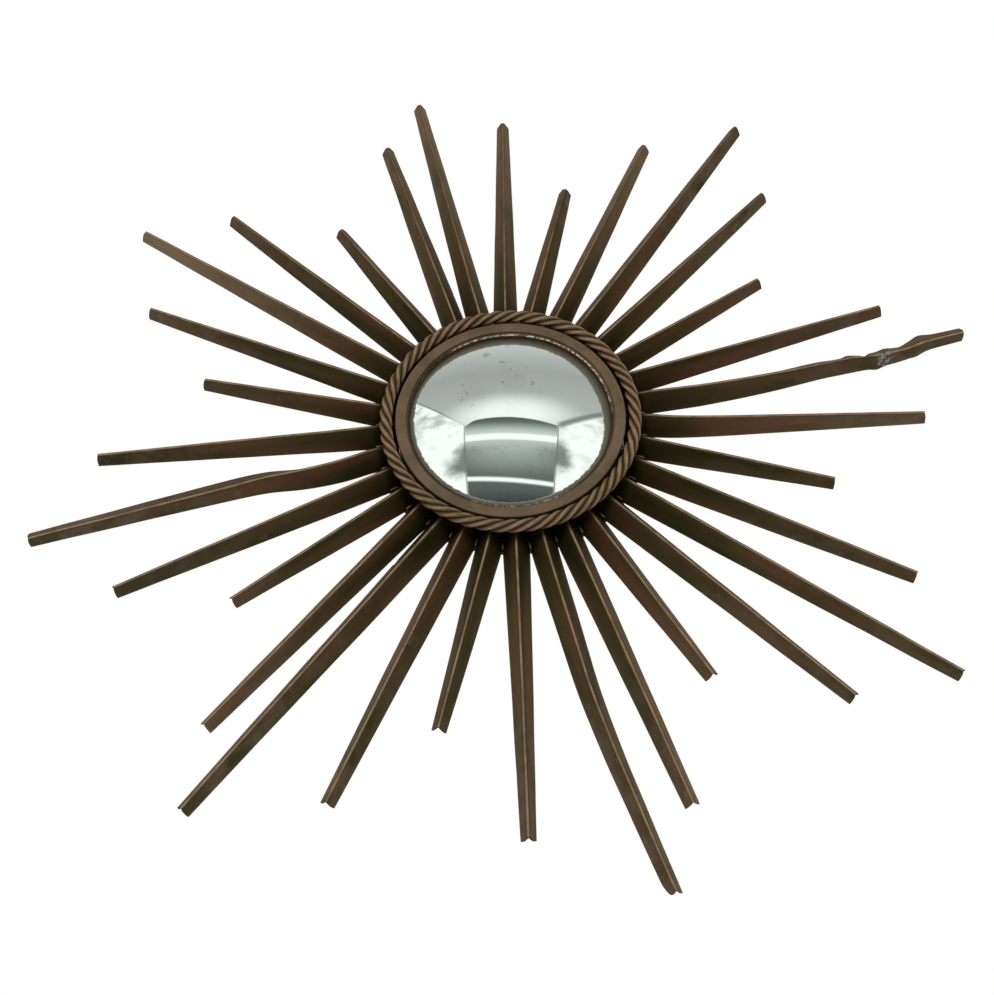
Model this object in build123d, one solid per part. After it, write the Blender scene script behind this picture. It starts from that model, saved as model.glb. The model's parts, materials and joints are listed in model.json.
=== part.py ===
"""Sunburst wall mirror: folded sheet rays round a convex glass in a twisted-bar frame.

The mirror is drawn lying on its back on a bench: X to the right, Y up the wall
and Z towards the viewer, with Z = 0 on the wall. The last step stands it up, so
that in the written solids +Z is up and the glass faces -Y. Sizes are in millimetres.
"""
from build123d import *
import math
import os

# Rays: strips of sheet, each folded along its middle into a tapering ridge
RAY_COUNT = 32
LONG_REACH = 350.0
MEDIUM_REACH = 301.0
SHORT_REACH = 234.0
ROOT_HALF_WIDTH = 9.9
TIP_HALF_WIDTH = 5.0
FOLD_HALF_ANGLE = 28.0
FOLD_RADIUS = 1.6
RAY_SHEET = 1.0
RAY_STAND_OFF = 8.0
RAY_PARTING = 130.0

# Centre: drum, face ring and the twisted square bar that lies on the rays
FACE_RING_RADIUS = 82.7
FACE_RING_THICKNESS = 2.0
FACE_RING_WIDTH = 7.5
FACE_ABOVE_BAR_CENTRE = 0.8
LIP_STEP = 1.0
LIP_BEAD_RADIUS = 0.5
LIP_THICKNESS = 1.4
DRUM_INSET = 0.5
DRUM_WALL = 1.6
BAR_CORNER_RADIUS = 4.8
BAR_GROOVE = 1.9
BAR_QUARTER_TURNS = 52
BAR_STEPS_PER_QUARTER = 4
BAR_JOINT_ANGLE = 67.0
ROOT_RING_THICKNESS = 1.5
ROOT_RING_WIDTH = 17.8

# Glass and what packs it
GLASS_CURVE_RADIUS = 330.0
GLASS_THICKNESS = 2.5
GLASS_EDGE_GAP = 1.6
LIP_DEPTH = 4.6
GLAZING_WIDTH = 6.0
GLAZING_THICKNESS = 0.8
PACKING_WIDTH = 9.0
BOARD_THICKNESS = 3.0
COVER_THICKNESS = 1.0
COVER_RECESS = 5.0
TAB_COUNT = 6
TAB_THICKNESS = 1.0
TAB_REACH = 7.0
TAB_ARC = 6.0
TAB_TURN = 7.0

# Hanger: a strap riveted to the cover, with a loop of wire that swings in its eye
HANGER_HEIGHT = 50.0
STRAP_WIDTH = 9.0
STRAP_LENGTH = 20.0
STRAP_THICKNESS = 0.8
WIRE_RADIUS = 1.3
LOOP_WIDTH = 22.0
LOOP_DROP = 22.0
LOOP_CORNER_RADIUS = 4.0
RIVET_RADIUS = 1.25
RIVET_HEAD_RADIUS = 2.3
RIVET_HEAD_HEIGHT = 0.9
RIVET_SETBACK = 6.0
RIVET_SPACING = 8.0

# Solder between neighbouring rays, just outside the bar
BEAD_RADIUS = 1.2
BEAD_LENGTH = 8.0
BEAD_BEYOND_BAR = 1.6

# Clearances
RUNNING_GAP = 0.05
SEAT_GAP = 0.1
BEAD_GAP = 0.3
EDGE_GAP = 0.4
NEIGHBOUR_GAP = 0.3

# How the rays depart from their pattern, as the worn original's do, seen from the front.
# The whole set sits turned a little anticlockwise, in degrees.
RAY_SET_TURN = 0.95
# Lean of each ray in degrees clockwise about its solder
RAY_LEAN = {
    1: 1.6, 2: 3.4, 3: 2.4, 4: 1.4, 5: -0.2, 6: 1.9, 7: 6.1, 10: 4.0, 11: 5.0, 12: 2.3,
    13: 0.5, 14: 2.8, 15: 3.9, 17: 0.4, 18: 4.4, 19: 3.7, 20: 6.8, 21: -1.9, 22: 0.9, 23: -0.3,
    25: -2.3, 26: 3.7, 27: 2.6, 28: 2.0, 29: -0.4, 30: 0.8, 31: 6.8, 32: 0.3,
}
# Extra reach over the pattern's, in millimetres
RAY_EXTRA_REACH = {1: 3.0, 3: -3.0, 12: 2.0, 13: 4.0, 16: -3.0, 29: 3.0, 31: -4.0, 32: -14.0}
# Four rays are bent: share of the way out, shift clockwise in millimetres, roll in degrees
RAY_BENDS = {
    8: [(0.0, 0.0, 0.0), (0.08, 0.0, 0.0), (0.1, 0.1, 0.0), (0.18, 2.0, 0.0), (0.25, 3.5, 0.0),
        (0.42, 5.0, 2.0), (0.58, 4.7, 8.0), (0.66, 4.6, -4.0), (0.74, 5.4, -2.0), (0.82, 4.6, 3.0),
        (0.88, 1.4, 11.0), (1.0, -0.4, 11.0)],
    9: [(0.0, 0.0, 0.0), (0.08, 0.0, 0.0), (0.1, 0.1, 0.0), (0.2, 2.0, 0.0), (0.35, 2.9, 0.0),
        (1.0, 3.1, 0.0)],
    16: [(0.0, 0.0, 0.0), (0.1, 0.0, 0.0), (0.12, 0.0, 0.0), (0.25, -0.8, 0.0), (0.37, -1.6, -0.5),
         (0.5, -2.7, -1.0), (0.64, -6.2, -1.5), (0.75, -9.7, -2.0), (1.0, -18.5, -3.0)],
    24: [(0.0, 0.0, 0.0), (0.08, 0.0, 0.0), (0.1, -0.1, 0.0), (0.18, -2.3, 0.0), (0.28, -2.5, -1.0),
         (0.38, -0.5, -6.0), (0.48, -1.1, -9.0), (1.0, -5.7, -8.0)],
}
BEND_PIECES = 26

# Places that follow from the sizes above
fold_angle = math.radians(FOLD_HALF_ANGLE)
drum_radius = FACE_RING_RADIUS - DRUM_INSET
drum_bore = drum_radius - DRUM_WALL
bar_ring_radius = FACE_RING_RADIUS + BAR_GROOVE + BAR_CORNER_RADIUS
bead_place = bar_ring_radius + BAR_CORNER_RADIUS + BEAD_BEYOND_BAR
face_opening = FACE_RING_RADIUS - FACE_RING_WIDTH
lip_bore = face_opening - LIP_STEP - LIP_BEAD_RADIUS
ray_angle = 360 / RAY_COUNT


def half_width(radius, reach):
    """Half the ray's width at a distance from the mirror's centre."""
    share = (radius - drum_radius) / (reach - drum_radius)
    return ROOT_HALF_WIDTH + share * (TIP_HALF_WIDTH - ROOT_HALF_WIDTH)


def ridge_height(half):
    """Height of the fold's crest over the ray's open edges."""
    return half / math.tan(fold_angle) - FOLD_RADIUS / math.sin(fold_angle) + FOLD_RADIUS


bar_height = (RAY_STAND_OFF + ridge_height(half_width(bar_ring_radius, LONG_REACH))
              + BAR_CORNER_RADIUS + SEAT_GAP)
face_height = bar_height + FACE_ABOVE_BAR_CENTRE
drum_height = face_height - FACE_RING_THICKNESS
glass_radius = drum_bore - GLASS_EDGE_GAP
glass_centre_height = face_height - LIP_DEPTH - math.sqrt(GLASS_CURVE_RADIUS**2 - lip_bore**2)


def glass_front(radius):
    return glass_centre_height + math.sqrt(GLASS_CURVE_RADIUS**2 - radius**2)


def glass_back(radius):
    return glass_centre_height + math.sqrt((GLASS_CURVE_RADIUS - GLASS_THICKNESS)**2 - radius**2)


lip_end = glass_front(lip_bore) + GLAZING_THICKNESS
cover_rear = COVER_RECESS
cover_front = cover_rear + COVER_THICKNESS
board_front = cover_front + BOARD_THICKNESS


def turned(points):
    """A solid turned about the mirror's axis from a profile of (radius, height) points."""
    return revolve(Plane.XZ * make_face(Polyline(points, close=True)), Axis.Z)


def disc(radius, low, high):
    return Pos(0, 0, low) * extrude(Circle(radius), high - low)


def fold_section(half):
    """The ray's section: two legs joined by a rounded fold, with the open edges on Y = 0."""
    centre = half / math.tan(fold_angle) - FOLD_RADIUS / math.sin(fold_angle)
    edges = []
    sides = [(FOLD_RADIUS, half), (FOLD_RADIUS - RAY_SHEET, half - RAY_SHEET / math.cos(fold_angle))]
    for radius, foot in sides:
        shoulder = (radius * math.cos(fold_angle), centre + radius * math.sin(fold_angle))
        other = (-shoulder[0], shoulder[1])
        edges += [Line((foot, 0), shoulder), ThreePointArc(shoulder, (0, centre + radius), other)]
        edges += [Line(other, (-foot, 0))]
    outer, inner = sides[0][1], sides[1][1]
    edges += [Line((outer, 0), (inner, 0)), Line((-outer, 0), (-inner, 0))]
    return make_face(edges)


def ray_sector():
    """A ray's room outside the drum: narrow as far as the rays touch, wide farther out."""
    far = 2 * LONG_REACH
    top = RAY_STAND_OFF + 2 * ridge_height(ROOT_HALF_WIDTH)
    half_angle = math.radians(ray_angle / 2)
    start = NEIGHBOUR_GAP / 2 / math.sin(half_angle)
    narrow = RAY_PARTING * math.tan(half_angle)
    near, wide = start + RAY_PARTING, narrow + far
    room = make_face(Polyline(
        (0, start), (narrow, near), (wide, near + far), (-wide, near + far), (-narrow, near), close=True))
    room -= Circle(drum_radius + NEIGHBOUR_GAP)
    return extrude(room, top)


def eased_bend(stations, share):
    """Shift and roll at a share of the way out, on a smooth curve through the stations."""
    last = len(stations) - 1
    first = max(turn for turn in range(last) if stations[turn][0] <= share or turn == 0)
    span = stations[first + 1][0] - stations[first][0]
    part = (share - stations[first][0]) / span
    result = []
    for column in (1, 2):
        slopes = []
        for end in (first, first + 1):
            before, after = stations[max(end - 1, 0)], stations[min(end + 1, last)]
            slopes.append((after[column] - before[column]) / (after[0] - before[0]) * span)
        low, high = stations[first][column], stations[first + 1][column]
        ease = part * part * (3 - 2 * part)
        lead_out = slopes[0] * part * (1 - part)**2
        lead_in = slopes[1] * part**2 * (1 - part)
        result.append(low + (high - low) * ease + lead_out - lead_in)
    return result


def make_ray(number, sector):
    """Ray number 1 points straight up and the rest follow clockwise, seen from the front."""
    pattern = {0: LONG_REACH, 1: MEDIUM_REACH, 2: SHORT_REACH, 3: MEDIUM_REACH}
    reach = pattern[number % 4] + RAY_EXTRA_REACH.get(number, 0.0)
    root = drum_radius - ROOT_HALF_WIDTH / 2
    stations = RAY_BENDS.get(number, [(0.0, 0.0, 0.0), (1.0, 0.0, 0.0)])
    pieces = BEND_PIECES if number in RAY_BENDS else 1
    sections = []
    for piece in range(pieces + 1):
        share = piece / pieces
        shift, roll = eased_bend(stations, share)
        radius = root + share * (reach - root)
        across = Plane(origin=(shift, radius, RAY_STAND_OFF), x_dir=(1, 0, 0), z_dir=(0, -1, 0))
        half = half_width(radius, reach)
        turn = Pos(0, half, 0) * Rot(0, 0, -roll) * Pos(0, -half, 0)
        sections.append(across * turn * fold_section(half))
    ray = loft(sections, ruled=True)
    pivot = Pos(0, bead_place, 0)
    ray = pivot * Rot(0, 0, -RAY_LEAN.get(number, 0.0)) * pivot.inverse() * ray
    return Rot(0, 0, RAY_SET_TURN - ray_angle * (number - 1)) * (ray & sector)


def make_twisted_bar():
    """A square bar, twisted and bent into a ring whose ends meet in a butt joint."""
    steps = BAR_QUARTER_TURNS * BAR_STEPS_PER_QUARTER
    side = BAR_CORNER_RADIUS * math.sqrt(2)
    joint_half_angle = math.degrees(NEIGHBOUR_GAP / 2 / bar_ring_radius)
    sections = []
    for step in range(steps + 1):
        turn = joint_half_angle + step / steps * (360 - 2 * joint_half_angle)
        angle = math.radians(BAR_JOINT_ANGLE + turn)
        outward = Vector(math.sin(angle), math.cos(angle), 0)
        along = Vector(math.cos(angle), -math.sin(angle), 0)
        middle = outward * bar_ring_radius + Vector(0, 0, bar_height)
        twist = turn / 360 * BAR_QUARTER_TURNS * 90
        square = Rot(0, 0, 45 - twist) * Rectangle(side, side)
        sections.append(Plane(origin=middle, x_dir=outward, z_dir=along) * square)
    return loft(sections, ruled=True)


def make_face_ring():
    """Flat face, a small beaded step inside it, and a lip that runs back to the glazing."""
    bead_front = face_height - LIP_STEP
    bead = [
        (lip_bore + LIP_BEAD_RADIUS * (1 - math.sin(math.radians(turn))),
         bead_front - LIP_BEAD_RADIUS * (1 - math.cos(math.radians(turn))))
        for turn in (0, 30, 60, 90)
    ]
    return turned([
        (FACE_RING_RADIUS, drum_height), (FACE_RING_RADIUS, face_height),
        (face_opening, face_height), (face_opening, bead_front),
        *bead, (lip_bore, lip_end), (lip_bore + LIP_THICKNESS, lip_end),
        (lip_bore + LIP_THICKNESS, drum_height),
    ])


def make_glass():
    """Convex glass of even thickness, silvered behind."""
    curve = GLASS_CURVE_RADIUS
    back_curve = curve - GLASS_THICKNESS
    mid = glass_radius / 2
    front_rim = (glass_radius, glass_front(glass_radius))
    back_rim = (glass_radius, glass_back(glass_radius))
    outline = [
        ThreePointArc((0, glass_front(0)), (mid, glass_front(mid)), front_rim),
        Line(front_rim, back_rim),
        ThreePointArc(back_rim, (mid, glass_back(mid)), (0, glass_back(0))),
        Line((0, glass_centre_height + back_curve), (0, glass_centre_height + curve)),
    ]
    return revolve(Plane.XZ * make_face(outline), Axis.Z)


def make_glazing_ring():
    """Soft ring between the lip and the glass."""
    outer = glass_radius - EDGE_GAP
    inner = outer - GLAZING_WIDTH
    return turned([
        (inner, glass_front(inner) + SEAT_GAP), (outer, glass_front(outer) + SEAT_GAP),
        (outer, lip_end), (inner, lip_end),
    ])


def make_packing_ring():
    """Ring that presses the glass forward from the backing board."""
    outer = glass_radius - EDGE_GAP
    inner = outer - PACKING_WIDTH
    return turned([
        (inner, board_front), (outer, board_front),
        (outer, glass_back(outer) - SEAT_GAP), (inner, glass_back(inner) - SEAT_GAP),
    ])


def make_tabs():
    """Tabs fixed inside the drum and folded over the back cover."""
    seat = drum_bore - SEAT_GAP
    profile = Polyline(
        (seat, cover_rear), (seat, TAB_THICKNESS), (seat - TAB_THICKNESS, TAB_THICKNESS),
        (seat - TAB_THICKNESS, cover_rear - TAB_THICKNESS),
        (seat - TAB_REACH, cover_rear - TAB_THICKNESS), (seat - TAB_REACH, cover_rear), close=True)
    tab = revolve(Plane.XZ * make_face(profile), Axis.Z, TAB_ARC)
    pitch = 360 / TAB_COUNT
    return Compound(children=[Rot(0, 0, pitch * turn + TAB_TURN) * tab for turn in range(TAB_COUNT)])


def rivet_places():
    first = HANGER_HEIGHT - RIVET_SETBACK
    return [Pos(0, first, 0), Pos(0, first - RIVET_SPACING, 0)]


def rivet_holes():
    hole = disc(RIVET_RADIUS + RUNNING_GAP, 0, board_front)
    return [place * hole for place in rivet_places()]


eye_bore = WIRE_RADIUS + RUNNING_GAP
eye_radius = eye_bore + STRAP_THICKNESS
wire_height = cover_rear - eye_radius


def make_strap():
    """Strap with a rolled eye at its top end."""
    eye = Pos(HANGER_HEIGHT, wire_height) * Circle(eye_radius)
    tail = Pos(HANGER_HEIGHT - STRAP_LENGTH / 2, cover_rear - STRAP_THICKNESS / 2) * Rectangle(
        STRAP_LENGTH, STRAP_THICKNESS)
    profile = eye + tail - Pos(HANGER_HEIGHT, wire_height) * Circle(eye_bore)
    strap = extrude(Plane.YZ * profile, STRAP_WIDTH / 2, both=True)
    for hole in rivet_holes():
        strap -= hole
    return strap


def make_rivets():
    rivet = disc(RIVET_RADIUS, cover_rear - STRAP_THICKNESS, cover_front)
    head_low = cover_rear - STRAP_THICKNESS - RIVET_HEAD_HEIGHT
    rivet += Pos(0, 0, head_low) * Cone(
        RIVET_HEAD_RADIUS - RIVET_HEAD_HEIGHT, RIVET_HEAD_RADIUS, RIVET_HEAD_HEIGHT,
        align=(Align.CENTER, Align.CENTER, Align.MIN))
    return Compound(children=[place * rivet for place in rivet_places()])


def make_loop():
    """D-shaped loop of wire, hanging down from its straight bar in the strap's eye."""
    half = LOOP_WIDTH / 2
    bow = LOOP_DROP - half
    corner = LOOP_CORNER_RADIUS
    path = Wire([
        Line((0, 0), (half - corner, 0)).edge(),
        ThreePointArc(
            (half - corner, 0),
            (half - corner + corner * math.sqrt(0.5), -corner + corner * math.sqrt(0.5)),
            (half, -corner)).edge(),
        Line((half, -corner), (half, -bow)).edge(),
        ThreePointArc((half, -bow), (0, -bow - half), (-half, -bow)).edge(),
        Line((-half, -bow), (-half, -corner)).edge(),
        ThreePointArc(
            (-half, -corner),
            (-half + corner - corner * math.sqrt(0.5), -corner + corner * math.sqrt(0.5)),
            (-half + corner, 0)).edge(),
        Line((-half + corner, 0), (0, 0)).edge(),
    ])
    loop = sweep(Plane.YZ * Circle(WIRE_RADIUS), path=path)
    return Pos(0, HANGER_HEIGHT, wire_height) * loop


def make_beads():
    """A drawn-out drop of solder in each valley between two rays."""
    half = BEAD_LENGTH / 2
    waist = half / 3
    outline = Polyline((0, -half), (BEAD_RADIUS, -waist), (BEAD_RADIUS, waist), (0, half), close=True)
    drop = revolve(make_face(outline), Axis.Y)
    half_pitch = bead_place * math.tan(math.radians(ray_angle / 2))
    cut_away = half_width(bead_place, MEDIUM_REACH) - half_pitch + NEIGHBOUR_GAP / 2
    valley = max(0.0, cut_away) / math.tan(fold_angle)
    height = RAY_STAND_OFF + valley + (BEAD_RADIUS + BEAD_GAP) / math.sin(fold_angle)
    drop = Pos(0, bead_place, height) * drop
    turns = [RAY_SET_TURN - ray_angle * (turn + 0.5) for turn in range(RAY_COUNT)]
    return Compound(children=[Rot(0, 0, turn) * drop for turn in turns])


def make_cover():
    cover = disc(drum_bore - EDGE_GAP, cover_rear, cover_front)
    for hole in rivet_holes():
        cover -= hole
    return cover


nodes = {
    "twisted_ring": make_twisted_bar(),
    "face_ring": make_face_ring(),
    "drum_wall": disc(drum_radius, 0, drum_height) - disc(drum_bore, 0, drum_height),
    "root_ring": disc(drum_radius + ROOT_RING_WIDTH, RAY_STAND_OFF - ROOT_RING_THICKNESS, RAY_STAND_OFF)
    - disc(drum_radius + SEAT_GAP, 0, RAY_STAND_OFF),
    "mirror_glass": make_glass(),
    "glazing_ring": make_glazing_ring(),
    "packing_ring": make_packing_ring(),
    "backing_board": disc(drum_bore - EDGE_GAP, cover_front, board_front),
    "back_cover": make_cover(),
    "retaining_tabs": make_tabs(),
    "hanger_strap": make_strap(),
    "hanger_rivets": make_rivets(),
    "hanging_loop": make_loop(),
    "solder_beads": make_beads(),
}
sector = ray_sector()
for number in range(1, RAY_COUNT + 1):
    nodes[f"ray_{number:02d}"] = make_ray(number, sector)

os.makedirs("parts", exist_ok=True)
stand_up = Rot(90, 0, 0)
for name, solid in nodes.items():
    export_step(stand_up * solid, f"parts/{name}.step")
print("bar centre", round(bar_height, 2), "face", round(face_height, 2))
print("glass edge", round(glass_front(lip_bore), 2))
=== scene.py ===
# %% [markdown]
# # A sunburst mirror, dressed for the camera
#
# The object is a small convex mirror in a bronze frame: 32 rays of folded sheet metal, a
# twisted square bar laid on them as a ring, and a flat face ring round the glass. The packed
# model already holds every piece at its real size. This notebook keeps that frame and lays
# finer meshes and worn metal finishes over it. All sizes below are in millimetres, drawn as
# if the mirror lay on a bench (X right, Y up the wall, Z towards the viewer), and one helper
# stands them up in metres.

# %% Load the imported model
import json
import math
import random

import bmesh
import bpy
from mathutils import Matrix, Vector, noise


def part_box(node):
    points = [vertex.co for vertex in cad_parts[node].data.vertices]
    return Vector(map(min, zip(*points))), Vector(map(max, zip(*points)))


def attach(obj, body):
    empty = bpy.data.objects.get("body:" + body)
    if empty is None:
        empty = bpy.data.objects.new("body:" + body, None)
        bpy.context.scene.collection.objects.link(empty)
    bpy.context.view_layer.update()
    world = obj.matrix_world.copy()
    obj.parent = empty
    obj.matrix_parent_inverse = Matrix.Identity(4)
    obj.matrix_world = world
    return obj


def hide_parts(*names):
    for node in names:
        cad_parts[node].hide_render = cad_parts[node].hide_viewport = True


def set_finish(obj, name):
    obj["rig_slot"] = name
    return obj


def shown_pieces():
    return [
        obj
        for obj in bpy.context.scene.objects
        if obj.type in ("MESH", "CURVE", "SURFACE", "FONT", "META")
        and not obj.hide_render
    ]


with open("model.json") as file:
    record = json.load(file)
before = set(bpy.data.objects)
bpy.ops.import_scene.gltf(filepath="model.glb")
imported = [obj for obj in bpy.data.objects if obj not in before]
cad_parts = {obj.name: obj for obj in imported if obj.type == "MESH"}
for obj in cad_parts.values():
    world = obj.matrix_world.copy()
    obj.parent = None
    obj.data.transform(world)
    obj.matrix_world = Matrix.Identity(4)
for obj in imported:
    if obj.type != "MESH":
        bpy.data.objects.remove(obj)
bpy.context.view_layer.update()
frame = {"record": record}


# %% [markdown]
# ## From the bench to the wall
#
# Turning every piece by hand would invite mistakes, so one function changes a bench point
# into a wall point: the bench's Y becomes up, and its Z comes out of the wall towards -Y.

# %% Stand a bench point up
MM = 0.001


def stand_up(point):
    """A wall point in metres from a bench point in millimetres."""
    x, y, z = point
    return Vector((x * MM, -z * MM, y * MM))


face_front = -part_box("face_ring")[0].y / MM
print("the face ring stands", round(face_front, 2), "mm off the wall")


# %% [markdown]
# ## The camera
#
# The photograph was taken from below the mirror, about a metre away and 33 degrees off its
# axis. Four facts fix such a view: where the camera stands, where it looks, which way is up
# in the picture, and how wide it sees. The picture is almost square, and the focal length
# is written for its taller side.

# %% Set the camera
CAMERA_PLACE = Vector((0.00084, -0.82986, -0.52509))
CAMERA_RIGHT = Vector((0.99947, 0.02586, -0.01961))
CAMERA_UP = Vector((0.02986, -0.49647, 0.86754))
FOCAL_PIXELS = 1332.2
PICTURE_HEIGHT = 995
SENSOR = 36.0

lens = bpy.data.cameras.new("camera")
lens.sensor_width = SENSOR
lens.lens = FOCAL_PIXELS / PICTURE_HEIGHT * SENSOR
camera = bpy.data.objects.new("camera", lens)
bpy.context.scene.collection.objects.link(camera)
backward = CAMERA_RIGHT.cross(CAMERA_UP)
turn = Matrix((CAMERA_RIGHT, CAMERA_UP, backward)).transposed().to_4x4()
camera.matrix_world = Matrix.Translation(CAMERA_PLACE) @ turn
bpy.context.scene.camera = camera
print("focal length", round(lens.lens, 1), "mm")


# %% [markdown]
# ## Shader maths that reads like maths
#
# A finish is a small network of nodes. Wiring it by hand hides the idea, so a Signal wraps
# one output socket and lets Python's own operators add the Math nodes: `1 - mask` is a
# Subtract node. Colours go through Mix instead, because a Math node turns a colour grey.
# Every other node comes from one method of the finish, which sets the node's own settings
# first and then its sockets.

# %% Signals and finishes
class Signal:
    """An output socket that takes part in Python expressions."""

    def __init__(self, finish, socket):
        self.finish = finish
        self.socket = socket

    def maths(self, operation, *terms):
        sockets = dict(enumerate(terms))
        return self.finish.node("ShaderNodeMath", {"operation": operation}, sockets)

    def __add__(self, other):
        return self.maths("ADD", self, other)

    def __sub__(self, other):
        return self.maths("SUBTRACT", self, other)

    def __rsub__(self, other):
        return self.maths("SUBTRACT", other, self)

    def __mul__(self, other):
        return self.maths("MULTIPLY", self, other)

    def __truediv__(self, other):
        return self.maths("DIVIDE", self, other)

    def __pow__(self, other):
        return self.maths("POWER", self, other)

    def __neg__(self):
        return self.maths("MULTIPLY", self, -1.0)

    def most(self, other):
        return self.maths("MAXIMUM", self, other)

    def least(self, other):
        return self.maths("MINIMUM", self, other)

    def rise(self, low, high):
        """0 below low, 1 above high, and smooth between; high below low turns it round."""
        settings = {"interpolation_type": "SMOOTHSTEP"}
        sockets = {"Value": self, "From Min": low, "From Max": high}
        return self.finish.node("ShaderNodeMapRange", settings, sockets)

    __radd__ = __add__
    __rmul__ = __mul__


class Finish:
    """A material with one main shader."""

    def __init__(self, name, shader="ShaderNodeBsdfPrincipled"):
        self.material = bpy.data.materials.new(name)
        self.material.use_nodes = True
        self.tree = self.material.node_tree
        self.tree.nodes.clear()
        self.shader = self.tree.nodes.new(shader)
        out = self.tree.nodes.new("ShaderNodeOutputMaterial")
        self.tree.links.new(self.shader.outputs[0], out.inputs["Surface"])

    def node(self, kind, settings=None, sockets=None, output=0):
        """Any node: its settings first, then its sockets, which take values or Signals."""
        made = self.tree.nodes.new(kind)
        for key, value in (settings or {}).items():
            if key == "stops":
                ramp = made.color_ramp
                while len(ramp.elements) < len(value):
                    ramp.elements.new(0.5)
                for stop, (place, colour) in zip(ramp.elements, value):
                    stop.position = place
                    stop.color = (*colour, 1)
            else:
                setattr(made, key, value)
        for key, value in (sockets or {}).items():
            self.feed(made.inputs[key], value)
        return Signal(self, made.outputs[output])

    def feed(self, socket, value):
        if isinstance(value, Signal):
            self.tree.links.new(value.socket, socket)
        elif socket.type == "RGBA":
            socket.default_value = (*value, 1)
        else:
            socket.default_value = value

    def place(self, stretch=(1, 1, 1)):
        """The surface's own coordinates in metres, stretched."""
        where = self.node("ShaderNodeTexCoord", output=3)
        return self.node("ShaderNodeMapping", {}, {"Vector": where, "Scale": stretch})

    def axis(self, number):
        """The surface's x (0), y (1) or z (2) in metres."""
        return self.node("ShaderNodeSeparateXYZ", {}, {"Vector": self.place()}, output=number)

    def cloud(self, size, detail=4.0, rough=0.55, stretch=(1, 1, 1)):
        """Noise whose patches are about size metres across."""
        sockets = {"Vector": self.place(stretch), "Scale": 1 / size, "Detail": detail,
                   "Roughness": rough}
        return self.node("ShaderNodeTexNoise", {}, sockets)

    def mark(self, name):
        """A number that the mesh carries at its points."""
        return self.node("ShaderNodeAttribute", {"attribute_name": name}, output=2)

    def ramp(self, signal, stops):
        return self.node("ShaderNodeValToRGB", {"stops": stops}, {"Fac": signal})

    def mix(self, factor, first, second):
        """A colour between two colours."""
        settings = {"data_type": "RGBA"}
        return self.node("ShaderNodeMix", settings, {0: factor, 6: first, 7: second}, output=2)

    def bump(self, height, distance, strength=1.0):
        sockets = {"Height": height, "Distance": distance, "Strength": strength}
        return self.node("ShaderNodeBump", {}, sockets)

    def wear(self, **sockets):
        """Sets the main shader's sockets, named with underscores for spaces."""
        for key, value in sockets.items():
            self.feed(self.shader.inputs[key.replace("_", " ")], value)
        return self.material


def distance(signal):
    """How far a signal is from 0, either way."""
    return signal.most(-signal)


print("shader helpers ready")


# %% [markdown]
# ## A mesh from rows of points
#
# Rays, bars, rings and wires are all one section carried along a path. So one helper takes
# rows of points, joins each row to the next, and stores the marks (numbers at each point) for
# wear and for painted highlight and shade that the finishes read later. A row may close on
# itself, and so may the path.

# %% Rows of points to a piece
def make_piece(name, rows, slot, body="mirror", closed_path=False, marks=None):
    """Joins rows of bench points into a tube; every row is a closed section."""
    across = len(rows[0])
    points = [stand_up(point) for row in rows for point in row]
    faces = []
    last = len(rows) if closed_path else len(rows) - 1
    for row in range(last):
        following = (row + 1) % len(rows)
        for column in range(across):
            beside = (column + 1) % across
            faces.append((row * across + column, row * across + beside,
                          following * across + beside, following * across + column))
    mesh = bpy.data.meshes.new(name)
    mesh.from_pydata(points, [], faces)
    for mark, values in (marks or {}).items():
        layer = mesh.attributes.new(mark, "FLOAT", "POINT")
        layer.data.foreach_set("value", values)
    return dress(name, mesh, slot, body)


def dress(name, mesh, slot, body="mirror", sharp=32):
    """Smooth shading, broken at edges sharper than a few degrees, on the right body."""
    shape = bmesh.new()
    shape.from_mesh(mesh)
    bmesh.ops.recalc_face_normals(shape, faces=shape.faces)
    for face in shape.faces:
        face.smooth = True
    for edge in shape.edges:
        if len(edge.link_faces) == 2 and edge.calc_face_angle() > math.radians(sharp):
            edge.smooth = False
    shape.to_mesh(mesh)
    shape.free()
    piece = bpy.data.objects.new(name, mesh)
    bpy.context.scene.collection.objects.link(piece)
    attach(piece, body)
    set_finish(piece, slot)
    return piece


def settle(shape, name, slot, sharp=32):
    """Stands a drawn shape up against the wall and dresses it."""
    for vertex in shape.verts:
        vertex.co = stand_up(vertex.co)
    mesh = bpy.data.meshes.new(name)
    shape.to_mesh(mesh)
    shape.free()
    return dress(name, mesh, slot, sharp=sharp)


def join_rows(shape, rows):
    """Faces between each closed row of vertices and the next."""
    for low, high in zip(rows, rows[1:]):
        for column in range(len(low)):
            beside = (column + 1) % len(low)
            shape.faces.new((low[column], low[beside], high[beside], high[column]))


def turn_on_axis(name, profile, slot, steps=360, worn=(), unevenness=0.0, waver_length=3.2):
    """A ring turned about the mirror's axis from (radius, height) points; worn ones waver."""
    rows = []
    values = []
    for step in range(steps):
        angle = 2 * math.pi * step / steps
        x, y = math.sin(angle), math.cos(angle)
        row = []
        for index, (radius, height) in enumerate(profile):
            if index in worn:
                spot = Vector((radius * x, radius * y, height)) / waver_length
                radius += unevenness * noise.noise(spot)
            row.append((radius * x, radius * y, height))
        rows.append(row)
        values += [1.0 if index in worn else 0.0 for index in range(len(profile))]
    return make_piece(name, rows, slot, closed_path=True, marks={"edge": values})


print("mesh helpers ready")
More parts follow.
